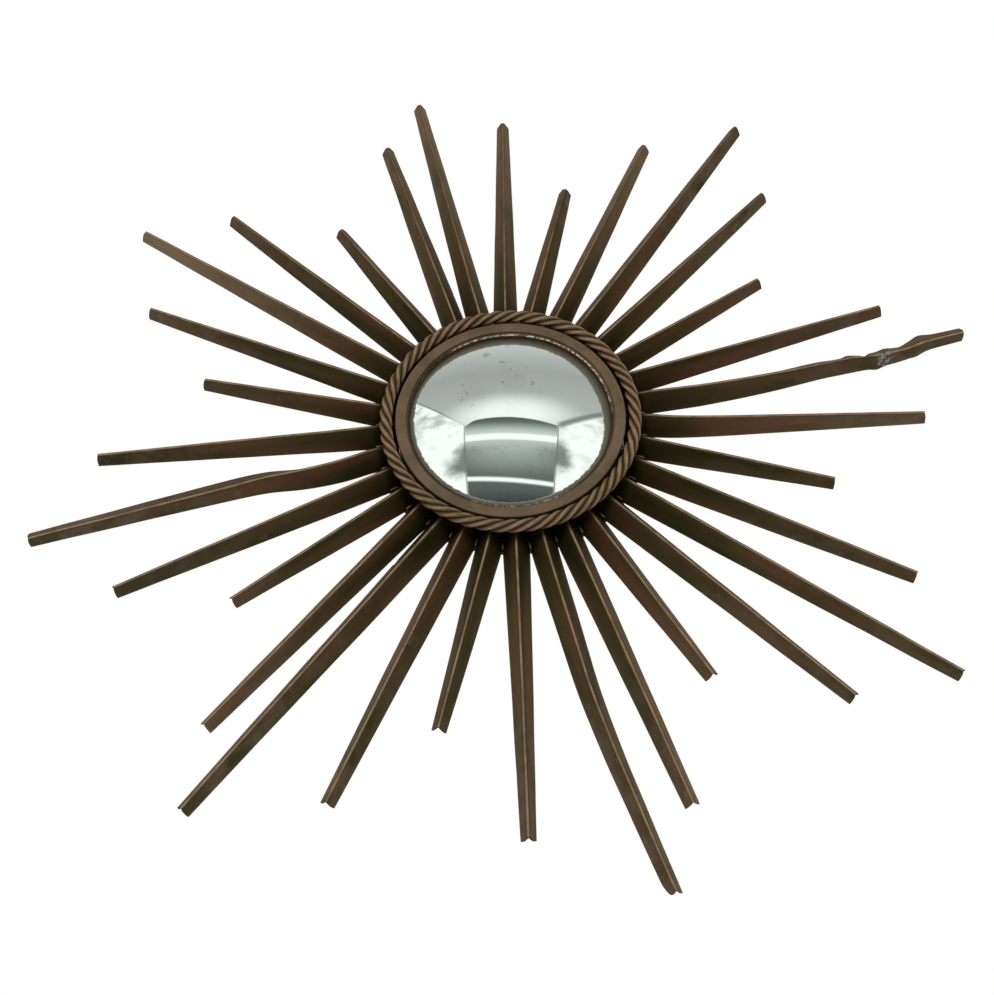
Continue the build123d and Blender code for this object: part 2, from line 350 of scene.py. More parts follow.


# %% [markdown]
# ## The rays
#
# Each ray is a strip of sheet folded along its middle into a tapering ridge. The originals
# are hand-made and knocked about: most lean a few degrees, the whole set was soldered about
# a degree round from true, four are bent, and one of those was also trodden on. The finer
# mesh follows the same sizes as the solids, adds the small waves that a hand-held strip
# gets, and stores how near each point is to the crest, where fingers rub the patina off and
# where a highlight and shade are painted.
# A folded section that is drawn once and carried outwards keeps the crest crisp, which
# subdividing the solid's long triangles would not.

# %% Sizes of the rays
RAY_COUNT = 32
REACHES = {0: 350.0, 1: 301.0, 2: 234.0, 3: 301.0}
ROOT_HALF_WIDTH = 9.9
TIP_HALF_WIDTH = 5.0
FOLD_ANGLE = math.radians(28.0)
FOLD_RADIUS = 1.6
SHEET = 1.0
STAND_OFF = 8.0
DRUM_RADIUS = 82.2
DROP_RADIUS = 95.8
RAY_GAP = 0.3
RAY_PARTING = 130.0
RAY_SET_TURN = math.radians(0.95)
# Degrees by which a ray leans clockwise, about its solder drops
RAY_LEAN = {
    1: 1.6, 2: 3.4, 3: 2.4, 4: 1.4, 5: -0.2, 6: 1.9, 7: 6.1, 10: 4.0, 11: 5.0, 12: 2.3,
    13: 0.5, 14: 2.8, 15: 3.9, 17: 0.4, 18: 4.4, 19: 3.7, 20: 6.8, 21: -1.9, 22: 0.9, 23: -0.3,
    25: -2.3, 26: 3.7, 27: 2.6, 28: 2.0, 29: -0.4, 30: 0.8, 31: 6.8, 32: 0.3,
}
# Millimetres by which a ray is longer or shorter than its neighbours of the same kind
RAY_EXTRA_REACH = {1: 3.0, 3: -3.0, 12: 2.0, 13: 4.0, 16: -3.0, 29: 3.0, 31: -4.0, 32: -14.0}
# Stations of the bent rays: share of the way out, sideways shift and roll in degrees
RAY_BENDS = {
    8: [(0.0, 0.0, 0.0), (0.08, 0.0, 0.0), (0.1, 0.1, 0.0), (0.18, 2.0, 0.0), (0.25, 3.5, 0.0),
        (0.42, 5.0, 2.0), (0.58, 4.7, 8.0), (0.66, 4.8, 2.0), (0.74, 5.9, 10.0), (0.82, 5.3, 16.0),
        (0.88, 2.3, 22.0), (1.0, 0.5, 21.0)],
    9: [(0.0, 0.0, 0.0), (0.08, 0.0, 0.0), (0.1, 0.1, 0.0), (0.2, 2.0, 0.0), (0.35, 2.9, 0.0),
        (1.0, 3.1, 0.0)],
    16: [(0.0, 0.0, 0.0), (0.1, 0.0, 0.0), (0.12, 0.0, 0.0), (0.25, -0.8, 0.0), (0.37, -1.6, -0.5),
         (0.5, -2.7, -1.0), (0.64, -6.2, -1.5), (0.75, -9.7, -2.0), (1.0, -18.5, -3.0)],
    24: [(0.0, 0.0, 0.0), (0.08, 0.0, 0.0), (0.1, -0.1, 0.0), (0.18, -2.3, 0.0), (0.28, -2.5, -4.0),
         (0.38, -0.5, -14.0), (0.48, -1.1, -20.0), (1.0, -5.7, -19.0)],
}
STRAIGHT = [(0.0, 0.0, 0.0), (1.0, 0.0, 0.0)]
# Some rays have worn paler towards the tip than the rest, and some have stayed darker
RAY_PALE = {1: 0.3, 3: 0.5, 7: 0.1, 9: 0.3, 11: -0.5, 12: -0.4, 13: -0.3, 14: 0.3, 15: 0.3, 17: -0.2,
            18: -0.4, 21: 0.5, 22: 0.2, 23: -0.8, 26: -0.4, 28: 0.9, 31: 0.2, 32: 0.4}
print("rays leaning:", len(RAY_LEAN), "bent:", sorted(RAY_BENDS))


# %% [markdown]
# ## Folding the strip
#
# A folding machine bends the strip over a rounded edge, so the ridge has a small radius and
# both legs stay flat. The section is drawn round the outside and back along the inside, which
# gives the sheet its thickness. A flat mesh with a Solidify modifier would do too, but it
# would let the inner radius and the feet drift from the solid's.

# %% Draw the folded section
def half_width(radius, reach):
    share = (radius - DRUM_RADIUS) / (reach - DRUM_RADIUS)
    return ROOT_HALF_WIDTH + share * (TIP_HALF_WIDTH - ROOT_HALF_WIDTH)


def fold_section(half, fold_steps=6):
    """(across, up, crest, foot) round the folded sheet, outside first and then inside."""
    centre = half / math.tan(FOLD_ANGLE) - FOLD_RADIUS / math.sin(FOLD_ANGLE)
    leg_shares = (0.0, 0.06, 0.25, 0.5, 0.75, 0.93)
    inner_half = half - SHEET / math.cos(FOLD_ANGLE)
    loop = []
    for radius, foot in ((FOLD_RADIUS, half), (FOLD_RADIUS - SHEET, inner_half)):
        shoulder = Vector((radius * math.cos(FOLD_ANGLE), centre + radius * math.sin(FOLD_ANGLE)))
        leg = [Vector((foot, 0)).lerp(shoulder, share) for share in leg_shares]
        side = [(spot.x, spot.y, 0.0, 1.0 if index == 0 else 0.0) for index, spot in enumerate(leg)]
        for step in range(fold_steps + 1):
            angle = FOLD_ANGLE + step / fold_steps * (math.pi - 2 * FOLD_ANGLE)
            nearness = math.sin(step / fold_steps * math.pi)
            side.append((radius * math.cos(angle), centre + radius * math.sin(angle), nearness, 0.0))
        side += [(-x, up, crest, foot_mark) for x, up, crest, foot_mark in reversed(side[:len(leg)])]
        if loop:
            side = [(x, up, 0.0, 0.0) for x, up, crest, foot_mark in reversed(side)]
        loop += side
    return loop


print("points round the fold:", len(fold_section(ROOT_HALF_WIDTH)))


# %% [markdown]
# ## Bent and trodden rays
#
# Four rays have been bent, and one of them trodden on. A bend in sheet has no corners, so its
# shift and roll run on a smooth curve through a few stations read from the photograph. The
# trodden ray caves in at one place and swells beside it, which a few bell curves along the
# ray describe. Sculpting it by hand would look as good but couldn't be measured or changed.

# %% Bends and dents
TRODDEN_RAY = 8
CRUSHED_RAY = 16


def near(share, place, spread):
    """1 at one place along the ray, falling to 0 on both sides of it."""
    return math.exp(-((share - place) / spread)**2)


def crumple(share, x, up):
    """Ray 8 was trodden on: it swells, caves in on its upper leg, and swells again beyond."""
    cave = near(share, 0.707, 0.014)
    if x < 0:
        x *= 1 + 0.30 * near(share, 0.672, 0.018) - 0.45 * cave
        x *= 1 + 0.18 * near(share, 0.775, 0.016) - 0.12 * near(share, 0.818, 0.014)
        x *= 1 + 0.30 * near(share, 0.880, 0.026)
    else:
        x *= 1 + 0.24 * near(share, 0.737, 0.018) + 0.26 * near(share, 0.862, 0.022)
    wrinkle = noise.noise(Vector((share * 90, x * 0.5, up * 0.5)))
    hurt = max(cave, near(share, 0.757, 0.03))
    up *= 1 - 0.10 * cave - 0.16 * near(share, 0.757, 0.02) + 0.14 * wrinkle * hurt
    return x, up


def eased_bend(stations, share):
    """Shift and roll at a share of the way out, on a smooth curve through the stations."""
    last = len(stations) - 1
    first = max(turn for turn in range(last) if stations[turn][0] <= share or turn == 0)
    span = stations[first + 1][0] - stations[first][0]
    part = (share - stations[first][0]) / span
    result = []
    for column in (1, 2):
        slopes = []
        for end in (first, first + 1):
            before, after = stations[max(end - 1, 0)], stations[min(end + 1, last)]
            slopes.append((after[column] - before[column]) / (after[0] - before[0]) * span)
        low, high = stations[first][column], stations[first + 1][column]
        ease = part * part * (3 - 2 * part)
        lead_out = slopes[0] * part * (1 - part)**2
        lead_in = slopes[1] * part**2 * (1 - part)
        result.append(low + (high - low) * ease + lead_out - lead_in)
    return result


print("ray", TRODDEN_RAY, "is bent sideways by",
      round(eased_bend(RAY_BENDS[TRODDEN_RAY], 0.5)[0], 1), "mm halfway out")


# %% [markdown]
# ## One ray from root to tip
#
# The section is carried outwards and made narrower as it goes. On the way it gets small waves
# from noise, its bends, and its lean about the solder drops that hold it. The end row is
# pushed back a little at the crest and the feet, as a file leaves a cut end. Marks for wear and
# for painted highlight and shade are stored at the same time, while it is known how far along,
# how far across and on which leg a point is.

# %% Carry the section outwards
WAVE = 0.22
WAVE_LENGTH = 38.0
ROLL_WAVE = 1.2
ROLL_WAVE_LENGTH = 60.0
CRUSH_START = 0.965
BARE_PLACE = 0.757


def make_ray(number, random_hand):
    """Rows of bench points from root to tip, and the marks for wear and painted light at each point."""
    reach = REACHES[number % 4] + RAY_EXTRA_REACH.get(number, 0.0)
    root = DRUM_RADIUS - ROOT_HALF_WIDTH / 2
    start = DRUM_RADIUS + 2 * RAY_GAP
    stations = RAY_BENDS.get(number, STRAIGHT)
    steps = 180 if number in RAY_BENDS else 60
    lean = math.radians(RAY_LEAN.get(number, 0.0))
    tip_skew = random_hand.uniform(-0.05, 0.05)
    tip_round = random_hand.uniform(0.7, 1.3)
    foot_round = random_hand.uniform(0.0, 0.7)
    phase = random_hand.uniform(0, 100)
    rows = []
    marks = {"crest": [], "foot": [], "along": [], "across": [], "hand": [], "pale": [], "bare": []}
    for step in range(steps + 1):
        radius = start + (reach - start) * step / steps
        share = (radius - root) / (reach - root)
        shift, roll = eased_bend(stations, share)
        half = half_width(radius, reach)
        top = half / math.tan(FOLD_ANGLE) - FOLD_RADIUS / math.sin(FOLD_ANGLE) + FOLD_RADIUS
        wave = WAVE * noise.noise(Vector((radius / WAVE_LENGTH, phase, 0)))
        roll += ROLL_WAVE * noise.noise(Vector((radius / ROLL_WAVE_LENGTH, 0, phase)))
        roll_by = -math.radians(roll)
        row = []
        for x, up, crest, foot in fold_section(half):
            across = abs(x) / math.sin(FOLD_ANGLE)
            if number == TRODDEN_RAY:
                x, up = crumple(share, x, up)
            if number == CRUSHED_RAY and x > 0:
                x *= 1 - 0.5 * (max(0.0, share - CRUSH_START) / (1 - CRUSH_START))**2
            turned_x = x * math.cos(roll_by) - (up - half) * math.sin(roll_by)
            turned_up = half + x * math.sin(roll_by) + (up - half) * math.cos(roll_by)
            out = radius
            if step == steps:
                near_crest = max(0.0, 2 * up / top - 1)
                near_foot = max(0.0, 1 - 4 * up / top)
                out += tip_skew * x - tip_round * near_crest**2 - foot_round * near_foot**2
            spot = Vector((shift + wave + turned_x, out - DROP_RADIUS, STAND_OFF + turned_up))
            spot.xy = (spot.x * math.cos(lean) + spot.y * math.sin(lean),
                       spot.y * math.cos(lean) - spot.x * math.sin(lean))
            row.append((spot.x, spot.y + DROP_RADIUS, spot.z))
            is_bare = number == TRODDEN_RAY and x > -2
            here = {"crest": crest, "foot": foot, "along": radius * MM, "across": across * MM,
                    "hand": number * 0.37 + (0.2 if x > 0 else 0.0),
                    "pale": RAY_PALE.get(number, 0.0) * share,
                    "bare": near(share, BARE_PLACE, 0.028) if is_bare else 0.0}
            for mark, value in here.items():
                marks[mark].append(value)
        rows.append(row)
    return rows, marks


print("longest ray:", max(REACHES.values()), "mm from the centre")


# %% [markdown]
# ## Room between neighbours
#
# Near the drum the rays are wider than their share of the circle, so the maker filed them to
# fit. A cutting plane on each side does the same, as far out as two rays touch. A Boolean
# with a wedge would give that shape too, but planes cut faster and keep the marks.

# %% Cut the rays to fit and lay them round
def cut_off(shape, place, normal):
    """Cuts away what lies beyond a plane, as far out as the rays touch, and closes the cut."""
    faces = [face for face in shape.faces if face.calc_center_median().y < RAY_PARTING]
    edges = list({edge for face in faces for edge in face.edges})
    verts = list({vertex for face in faces for vertex in face.verts})
    cut = bmesh.ops.bisect_plane(
        shape, geom=verts + edges + faces, plane_co=place, plane_no=normal, clear_outer=True)
    rim = [item for item in cut["geom_cut"] if isinstance(item, bmesh.types.BMEdge)]
    if rim:
        bmesh.ops.holes_fill(shape, edges=rim, sides=0)


def lay_ray(number, random_hand):
    """Cuts the ray to its room between its neighbours and turns it to its place."""
    points, marks = make_ray(number, random_hand)
    shape = bmesh.new()
    layers = {mark: shape.verts.layers.float.new(mark) for mark in marks}
    rows = [[shape.verts.new(point) for point in row] for row in points]
    for place, vertex in enumerate(vertex for row in rows for vertex in row):
        for mark, layer in layers.items():
            vertex[layer] = marks[mark][place]
    join_rows(shape, rows)
    for end in (rows[0], rows[-1]):
        for column in range(len(end) // 2 - 1):
            shape.faces.new((end[column], end[column + 1], end[-2 - column], end[-1 - column]))
    slope = math.radians(180 / RAY_COUNT)
    for side in (1, -1):
        place = Vector((side * -RAY_GAP / 2 * math.cos(slope), 0, 0))
        cut_off(shape, place, Vector((side * math.cos(slope), -math.sin(slope), 0)))
    angle = RAY_SET_TURN - 2 * math.pi * (number - 1) / RAY_COUNT
    bmesh.ops.rotate(shape, verts=shape.verts, cent=(0, 0, 0), matrix=Matrix.Rotation(angle, 3, "Z"))
    ray = settle(shape, f"folded_ray_{number:02d}", "ray_bronze", sharp=40)
    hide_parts(f"ray_{number:02d}")
    return ray


random_hand = random.Random(32)
rays = [lay_ray(number, random_hand) for number in range(1, RAY_COUNT + 1)]
print("rays:", len(rays), "faces:", sum(len(ray.data.polygons) for ray in rays))


# %% [markdown]
# ## The twisted bar
#
# What looks like rope is a square bar, twisted thirteen full turns and bent into a ring
# whose ends meet in a butt joint. A Screw modifier would give a helix but not one that
# closes on itself, so the section is carried round the ring and turned as it goes. Twisting
# pulls the flat sides in and leaves four rounded lobes, so the section is drawn with those
# already in it, and the mark `crest` is 1 on each lobe.

# %% Twist the bar
BAR_CORNER = 4.8
BAR_RING = 89.4
BAR_QUARTERS = 52
BAR_JOINT = math.radians(67.0)
FACE_ABOVE_BAR = 0.8
TWIST_UNEVENNESS = 0.28
bar_height = face_front - FACE_ABOVE_BAR


# Half a lobe: degrees from its top, share of the corner radius, nearness to the crest
HALF_LOBE = [(0, 0.970, 1.0), (7, 0.955, 0.9), (14, 0.906, 0.65), (22, 0.838, 0.38),
             (32, 0.755, 0.12), (45, 0.695, 0.0)]


def square_section(corner):
    """(across, up, crest) of a square bar with worn corners and sides drawn in by the twist."""
    lobe = [(-offset, pull, mark) for offset, pull, mark in reversed(HALF_LOBE[1:])] + HALF_LOBE[:-1]
    outline = []
    for quarter in range(4):
        for offset, pull, mark in lobe:
            angle = quarter * math.pi / 2 + math.radians(offset)
            outline.append((corner * pull * math.cos(angle), corner * pull * math.sin(angle), mark))
    return outline


def twist_bar(steps_per_quarter=12):
    steps = BAR_QUARTERS * steps_per_quarter
    gap = RAY_GAP / 2 / BAR_RING
    rows, crest = [], []
    for step in range(steps + 1):
        turn = gap + step / steps * (2 * math.pi - 2 * gap)
        angle = BAR_JOINT + turn
        uneven = TWIST_UNEVENNESS * noise.noise(Vector((math.cos(angle) * 3, math.sin(angle) * 3, 5)))
        twist = turn * BAR_QUARTERS / 4 + uneven
        row = []
        for x, up, mark in square_section(BAR_CORNER):
            out = BAR_RING + x * math.cos(twist) + up * math.sin(twist)
            high = bar_height - x * math.sin(twist) + up * math.cos(twist)
            row.append((out * math.sin(angle), out * math.cos(angle), high))
            crest.append(mark)
        rows.append(row)
    bar = make_piece("twisted_bar", rows, "bar_bronze", marks={"crest": crest})
    shape = bmesh.new()
    shape.from_mesh(bar.data)
    open_edges = [edge for edge in shape.edges if len(edge.link_faces) == 1]
    bmesh.ops.holes_fill(shape, edges=open_edges, sides=0)
    shape.to_mesh(bar.data)
    shape.free()
    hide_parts("twisted_ring")
    return bar


bar = twist_bar()
print("twisted bar:", len(bar.data.polygons), "faces")


# %% [markdown]
# ## Rings turned on the mirror's axis
#
# The face ring, the glass, the soft ring that seats it, the drum behind and the ring under
# the rays' roots are all round, so each is one profile turned about the axis in many small
# steps. The glass needs that more than the others: a reflection shows every flat spot.

# %% Turn the rings and the glass
FACE_RADIUS = 82.7
FACE_WIDTH = 7.5
FACE_THICKNESS = 2.0
LIP_STEP = 1.9
LIP_BEAD = 0.5
LIP_THICKNESS = 1.4
DRUM_WALL = 1.6
GLASS_CURVE = 330.0
GLASS_THICKNESS = 2.5
GLASS_EDGE_GAP = 1.6
LIP_DEPTH = 4.6
GLAZING_THICKNESS = 0.8
GLAZING_WIDTH = 6.0
GLAZING_LIFT = 0.1
GLAZING_PLAY = 0.4
ROOT_RING_PLAY = 0.1
SOFT_EDGE = 0.35
BEAD_UNEVENNESS = 0.45
face_opening = FACE_RADIUS - FACE_WIDTH
lip_bore = face_opening - LIP_STEP - LIP_BEAD
drum_front = face_front - FACE_THICKNESS
drum_bore = DRUM_RADIUS - DRUM_WALL
glass_radius = drum_bore - GLASS_EDGE_GAP
glass_middle = face_front - LIP_DEPTH - math.sqrt(GLASS_CURVE**2 - lip_bore**2)


def glass_front(radius):
    return glass_middle + math.sqrt(GLASS_CURVE**2 - radius**2)


def glass_back(radius):
    return glass_middle + math.sqrt((GLASS_CURVE - GLASS_THICKNESS)**2 - radius**2)


lip_end = glass_front(lip_bore) + GLAZING_THICKNESS
bead_front = face_front - LIP_STEP
bead_arc = [(lip_bore + LIP_BEAD * (1 - math.sin(math.radians(angle))),
             bead_front - LIP_BEAD * (1 - math.cos(math.radians(angle)))) for angle in (0, 22, 45, 68, 90)]
face_profile = [
    (FACE_RADIUS, drum_front), (FACE_RADIUS, face_front - SOFT_EDGE),
    (FACE_RADIUS - SOFT_EDGE, face_front), (face_opening + SOFT_EDGE, face_front),
    (face_opening, face_front - SOFT_EDGE), (face_opening, bead_front), *bead_arc,
    (lip_bore, lip_end), (lip_bore + LIP_THICKNESS, lip_end), (lip_bore + LIP_THICKNESS, drum_front)]
bead_points = (6, 7, 8, 9)
face_ring = turn_on_axis("face_ring_turned", face_profile, "face_bronze", steps=720,
                         worn=bead_points, unevenness=BEAD_UNEVENNESS)
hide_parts("face_ring")

drum = turn_on_axis("drum_turned", [
    (DRUM_RADIUS, 0), (DRUM_RADIUS, drum_front), (drum_bore, drum_front), (drum_bore, 0)],
    "drum_steel")
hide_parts("drum_wall")
root_low = -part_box("root_ring")[1].y / MM
root_high = -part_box("root_ring")[0].y / MM
root_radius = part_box("root_ring")[1].x / MM
root_bore = DRUM_RADIUS + ROOT_RING_PLAY
root_ring = turn_on_axis("root_ring_turned", [
    (root_radius, root_low), (root_radius, root_high), (root_bore, root_high),
    (root_bore, root_low)], "drum_steel")
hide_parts("root_ring")

seat_outer = glass_radius - GLAZING_PLAY
seat_inner = seat_outer - GLAZING_WIDTH
glazing = turn_on_axis("glazing_turned", [
    (seat_inner, glass_front(seat_inner) + GLAZING_LIFT),
    (seat_outer, glass_front(seat_outer) + GLAZING_LIFT),
    (seat_outer, lip_end), (seat_inner, lip_end)], "glazing")
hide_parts("glazing_ring")
print("glass radius", round(glass_radius, 1), "mm, visible", round(lip_bore, 1), "mm")


# %% [markdown]
# ## The convex glass
#
# Such a glass is cut from a thin blown or sagged bowl, so its front is part of a sphere. A
# sphere from the menu, cut down, would spend most of its faces where nothing is seen. Here
# rings of points cover just the disc, front and back, and each point stores its distance
# from the middle for the worn rim of the silver.

# %% Make the glass
def make_glass(rings=40, steps=256):
    """A dished disc: front and back of rings, closed at the rim and the middle."""
    shape = bmesh.new()
    edge = shape.verts.layers.float.new("edge")
    caps = []
    for height in (glass_front, glass_back):
        middle = shape.verts.new((0, 0, height(0)))
        ringed = []
        for ring in range(1, rings + 1):
            radius = glass_radius * ring / rings
            ringed.append([shape.verts.new((
                radius * math.sin(2 * math.pi * step / steps),
                radius * math.cos(2 * math.pi * step / steps), height(radius)))
                for step in range(steps)])
            for vertex in ringed[-1]:
                vertex[edge] = radius
        for step in range(steps):
            beside = (step + 1) % steps
            shape.faces.new((middle, ringed[0][step], ringed[0][beside]))
            for inner, outer in zip(ringed, ringed[1:]):
                shape.faces.new((inner[step], outer[step], outer[beside], inner[beside]))
        caps.append(ringed[-1])
    for step in range(steps):
        beside = (step + 1) % steps
        shape.faces.new((caps[0][step], caps[1][step], caps[1][beside], caps[0][beside]))
    glass = settle(shape, "convex_glass", "silvered_glass")
    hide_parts("mirror_glass")
    return glass


glass = make_glass()
print("glass faces:", len(glass.data.polygons))


# %% [markdown]
# ## Solder between the rays
#
# A drop of solder was drawn down each valley between two rays, just outside the bar. Real
# drops are lumpy and no two match, so each is a small lathe-like spindle pushed about by
# noise, a little different in length and place.

# %% Draw the solder drops
DROP_LENGTH = 8.0
DROP_RADIUS_ACROSS = 1.2
drops_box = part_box("solder_beads")
drop_height = -(drops_box[0].y + drops_box[1].y) / 2 / MM


def draw_drops(around=12, rings=10):
    shape = bmesh.new()
    for number in range(RAY_COUNT):
        angle = RAY_SET_TURN - 2 * math.pi * (number + 0.5) / RAY_COUNT
        length = DROP_LENGTH * random_hand.uniform(0.72, 1.0)
        thick = DROP_RADIUS_ACROSS * random_hand.uniform(0.75, 1.0)
        rows = []
        for ring in range(rings + 1):
            share = ring / rings
            swell = math.sin(math.pi * share)**0.7
            row = []
            for step in range(around):
                turn = 2 * math.pi * step / around
                lump = 1 + 0.16 * noise.noise(Vector((math.cos(turn) * 2, share * 5, number * 7)))
                reach = thick * swell * min(lump, 1.0) + 0.02
                row.append(shape.verts.new((
                    reach * math.cos(turn), DROP_RADIUS + (share - 0.5) * length,
                    drop_height + reach * math.sin(turn))))
            rows.append(row)
        join_rows(shape, rows)
        shape.faces.new(rows[0])
        shape.faces.new(rows[-1])
        drop = [vertex for row in rows for vertex in row]
        bmesh.ops.rotate(shape, verts=drop, cent=(0, 0, 0), matrix=Matrix.Rotation(angle, 3, "Z"))
    drops = settle(shape, "solder_drops", "solder", sharp=80)
    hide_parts("solder_beads")
    return drops


drops = draw_drops()
print("solder drops:", RAY_COUNT, "faces:", len(drops.data.polygons))


# %% [markdown]
# ## The wire loop
#
# Behind the mirror a loop of wire hangs in the strap's rolled eye. It is the one piece that
# moves, so it rides on the body `loop`. A round section carried along the loop's centre
# line gives an even wire; a Curve object would do as well, but a mesh needs no conversion.

# %% Bend the wire loop
WIRE = 1.3
LOOP_HALF = 11.0
LOOP_DROP = 22.0
LOOP_CORNER = 4.0
loop_pivot = Vector(frame["record"]["behaviour"]["joints"][0]["pos_m"]) / MM


def loop_line():
    """Centre line and direction of the D-shaped loop, from the middle of its straight bar."""
    bow = LOOP_DROP - LOOP_HALF
    line = []
    corner_middle = (LOOP_HALF - LOOP_CORNER, -LOOP_CORNER)
    for step in range(9):
        angle = math.pi / 2 * (1 - step / 8)
        line.append((corner_middle[0] + LOOP_CORNER * math.cos(angle),
                     corner_middle[1] + LOOP_CORNER * math.sin(angle), angle - math.pi / 2))
    for step in range(33):
        angle = -math.pi * step / 32
        line.append((LOOP_HALF * math.cos(angle), -bow + LOOP_HALF * math.sin(angle), angle - math.pi / 2))
    left = [(-x, y, math.pi - heading) for x, y, heading in reversed(line[:9])]
    line += [(x, y, -3 * math.pi / 2 - math.pi / 2 * step / 8) for step, (x, y, old) in enumerate(left)]
    return line


def bend_loop(around=16):
    rows = []
    for x, y, heading in loop_line():
        side = (-math.sin(heading), math.cos(heading))
        row = []
        for step in range(around):
            angle = 2 * math.pi * step / around
            out, up = WIRE * math.cos(angle), WIRE * math.sin(angle)
            row.append((x + side[0] * out, loop_pivot.z + y + side[1] * out, -loop_pivot.y + up))
        rows.append(row)
    loop = make_piece("wire_loop", rows, "loop_steel", body="loop", closed_path=True)
    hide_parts("hanging_loop")
    return loop


loop = bend_loop()
print("loop reaches", round(min(v.co.z for v in loop.data.vertices) / MM, 1), "mm above the centre")


# %% [markdown]
# ## Bronze finishes
#
# The metal is brass browned to a bronze patina. Close to, it isn't one colour: olive and
# red-brown patches drift along each ray, the crest is rubbed to a paler bronze and carries a
# painted highlight, and dust greys some of the legs. Noise in the mirror's own coordinates gives
# patches that don't line up from ray to ray, and the stored marks put the wear where hands put
# it and the painted highlight and shade along the crest, at the feet and under the bar. Painting
# an image would do too, but it would have to be unwrapped and wouldn't scale.

# %% The rays' patina, painted highlights and painted shade
OLIVE_TO_RED = [(0.38, (0.032, 0.031, 0.009)), (0.46, (0.057, 0.045, 0.016)),
                (0.54, (0.082, 0.052, 0.022)), (0.62, (0.122, 0.056, 0.028))]
WORN_OUTSIDE = (0.112, 0.082, 0.052)
PALE = (0.25, 0.175, 0.105)
DARK = (0.055, 0.045, 0.020)
ROOT_DARKENING = (0.022, 0.016, 0.005)
DARK_STREAK = (0.028, 0.021, 0.009)
PALE_STREAK = (0.24, 0.19, 0.13)
DUST = (0.23, 0.22, 0.185)
SHADE_BESIDE_CREST = (0.020, 0.014, 0.006)
CREST_WEAR_AND_HIGHLIGHT = (0.330, 0.228, 0.135)
FOOT_WEAR_AND_HIGHLIGHT = (0.24, 0.20, 0.135)
SHADE_UNDER_BAR = (0.012, 0.008, 0.003)
BRUISE = (0.050, 0.036, 0.030)
BARE_METAL = (0.34, 0.32, 0.30)


def ray_bronze():
    finish = Finish("ray_bronze")
    crest, foot, along = finish.mark("crest"), finish.mark("foot"), finish.mark("along")
    along_ray = {"X": along * 0.12, "Y": finish.mark("across"), "Z": finish.mark("hand")}
    grain = {"Vector": finish.node("ShaderNodeCombineXYZ", {}, along_ray), "Detail": 4.0}
    streaks = finish.node("ShaderNodeTexNoise", {}, {**grain, "Scale": 300.0})
    drift = finish.node("ShaderNodeTexNoise", {}, {**grain, "Scale": 75.0})
    colour = finish.ramp(drift * 0.7 + finish.cloud(0.05) * 0.3, OLIVE_TO_RED)
    worn = 0.1 + finish.cloud(0.018, detail=5, rough=0.6).rise(0.38, 0.62) * 0.8
    colour = finish.mix(along.rise(0.13, 0.29) * worn, colour, WORN_OUTSIDE)
    pale = finish.mark("pale")
    colour = finish.mix(pale.rise(0.0, 1.0) * 0.8, colour, PALE)
    colour = finish.mix((-pale).rise(0.0, 1.0) * 0.8, colour, DARK)
    # The rays are darker towards the roots, under and just outside the bar.
    colour = finish.mix(along.rise(0.15, 0.10) * 0.32, colour, ROOT_DARKENING)
    colour = finish.mix(streaks.rise(0.50, 0.72) * 0.22, colour, DARK_STREAK)
    colour = finish.mix(streaks.rise(0.45, 0.28) * 0.09, colour, PALE_STREAK)
    dust = finish.cloud(0.016, detail=6, rough=0.7).rise(0.60, 0.72) * along.rise(0.14, 0.2)
    colour = finish.mix(dust * 0.30, colour, DUST)

    patchy = 0.5 + finish.cloud(0.012).rise(0.35, 0.6) * 0.5
    # Painted shade: a dark line on both sides of the crest, where the legs turn from the light.
    shade_beside_crest = crest.rise(0.0, 0.3) * crest.rise(0.85, 0.5)
    colour = finish.mix(shade_beside_crest * 0.35, colour, SHADE_BESIDE_CREST)
    # The paler crest is partly rubbed metal and partly a painted highlight along the fold, and it is
    # weaker higher up.
    weaker_higher_up = 1 - finish.axis(2).rise(0.08, 0.24) * 0.7
    wear_and_highlight = crest.rise(0.62, 1.0) * patchy * weaker_higher_up
    colour = finish.mix(wear_and_highlight, colour, CREST_WEAR_AND_HIGHLIGHT)
    # The feet are paler: partly rubbed metal and partly a painted highlight along the leg edges.
    colour = finish.mix(foot.rise(0.3, 1.0) * patchy * 0.5, colour, FOOT_WEAR_AND_HIGHLIGHT)
    # Painted shade: the rays go near black where they run under the twisted bar.
    colour = finish.mix(along.rise(0.102, 0.094) * 0.9, colour, SHADE_UNDER_BAR)

    scratches = finish.cloud(0.0022, detail=5, rough=0.7, stretch=(1, 1, 0.4)).rise(0.45, 0.55)
    bare = (finish.mark("bare") + finish.cloud(0.004, detail=3) * 1.2 - 0.6).rise(0.45, 0.75)
    colour = finish.mix(bare * 0.7, colour, BRUISE)
    colour = finish.mix(bare * scratches * 0.7, colour, BARE_METAL)
    fine = finish.cloud(0.0016, detail=6, rough=0.7)
    return finish.wear(
        Base_Color=colour, Metallic=0.5, Roughness=0.50 - wear_and_highlight * 0.12 + fine * 0.08,
        Specular_IOR_Level=0.12, Specular_Tint=(0.62, 0.50, 0.34), Normal=finish.bump(fine, 0.00004))


finishes = {"ray_bronze": ray_bronze()}
print("nodes in the rays' finish:", len(finishes["ray_bronze"].node_tree.nodes))


# %% [markdown]
# ## The bar and the face ring
#
# The bar's hollows hold old wax and dirt and carry painted shade, and a duster only reaches its
# lobes, which also carry a painted highlight, so one mark runs from near black to rubbed, lit
# bronze. The face ring is smoother and lighter. Its bead carries painted shade except where
# painted glints stand for light from above and from the right catching flecks of bare metal.
# That light is part of the finish, because a bead half a millimetre high is too fine for a lamp.

